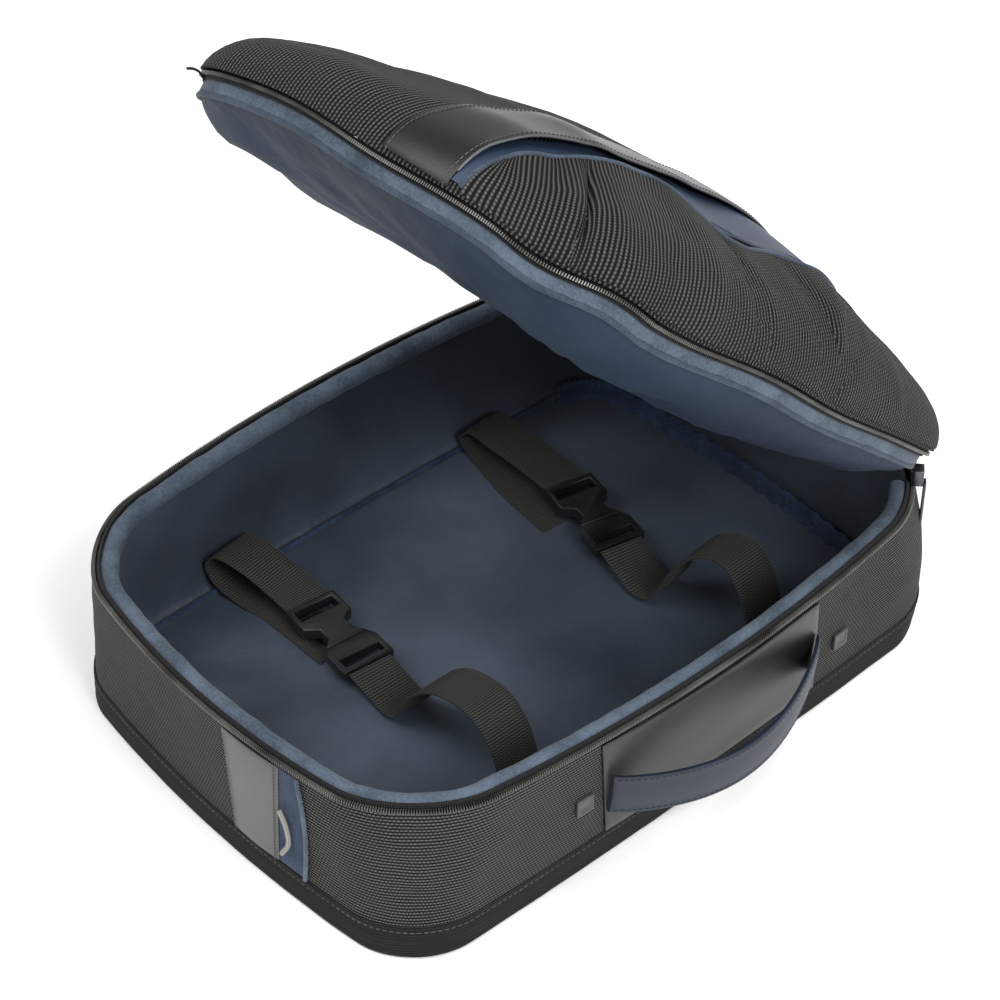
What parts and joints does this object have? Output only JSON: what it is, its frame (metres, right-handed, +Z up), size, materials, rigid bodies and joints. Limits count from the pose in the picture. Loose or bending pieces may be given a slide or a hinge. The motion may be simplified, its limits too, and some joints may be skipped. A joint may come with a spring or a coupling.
{
  "type": "convertible backpack",
  "caption": "Padded cloth travel backpack lying on its back panel, zip-open tray with lining and two clip straps, bulging lid with front pocket hinged at one end, carry handle on a long side.",
  "frame": {"origin": "centre of the back panel's flat underside, on the floor", "axes": "+X across the bag towards the long side with the carry handle, +Y along it towards the end where the lid is hinged, +Z up"},
  "size_m": [0.4133, 0.5145, 0.48],
  "materials": {
    "ribbed_cloth": "matt ribbed nylon, charcoal with paler ribs",
    "lining_satin": "slate navy satin lining",
    "binding_tape": "heathered steel-blue rolled binding",
    "navy_cloth": "navy plain weave",
    "black_leather": "black leather, soft sheen",
    "navy_leather": "navy leather, soft sheen",
    "webbing": "black twill webbing",
    "zip_tape": "black zip tape",
    "zip_coil": "silver-grey coil teeth",
    "grey_cord": "grey cord loop",
    "black_acetal": "black moulded plastic, satin",
    "gunmetal": "dark gunmetal, satin"
  },
  "bodies": {
    "bag": {"lid_shell": "ribbed_cloth", "lid_lining": "lining_satin", "lid_zip_coil": "zip_coil", "lid_zip_tape": "zip_tape", "lid_facing": "navy_cloth", "lid_binding": "binding_tape", "leather_band": "black_leather", "pocket_panel": "ribbed_cloth", "pocket_facing": "navy_cloth", "pocket_binding": "binding_tape", "back_panel": "ribbed_cloth", "base_welt": "ribbed_cloth", "tray_wall": "ribbed_cloth", "tray_lining": "lining_satin", "floor_piping": "binding_tape", "tray_zip_coil": "zip_coil", "tray_zip_tape": "zip_tape", "tray_binding": "binding_tape", "elastic_edge": "navy_cloth", "hinge_gusset": "ribbed_cloth", "end_patch": "black_leather", "slit_facing": "navy_cloth", "slit_binding": "binding_tape", "pull_loop": "grey_cord", "side_panel": "black_leather", "side_handle": "navy_leather", "rivet_free_end": "gunmetal", "rivet_hinge_end": "gunmetal", "strap_1_tail": "webbing", "strap_1_lead": "webbing", "strap_1_socket": "black_acetal", "strap_1_catch": "black_acetal", "strap_2_tail": "webbing", "strap_2_lead": "webbing", "strap_2_socket": "black_acetal", "strap_2_catch": "black_acetal", "zip_slider": "gunmetal"},
    "pull": {"zip_pull": "gunmetal"}
  },
  "joints": [
    {"name": "pull_swing", "type": "hinge", "parent": "bag", "child": "pull", "pos_m": [0.16049, 0.21918, 0.1236], "axis": [0.671, -0.7415, 0], "range_deg": [0, 140]}
  ]
}
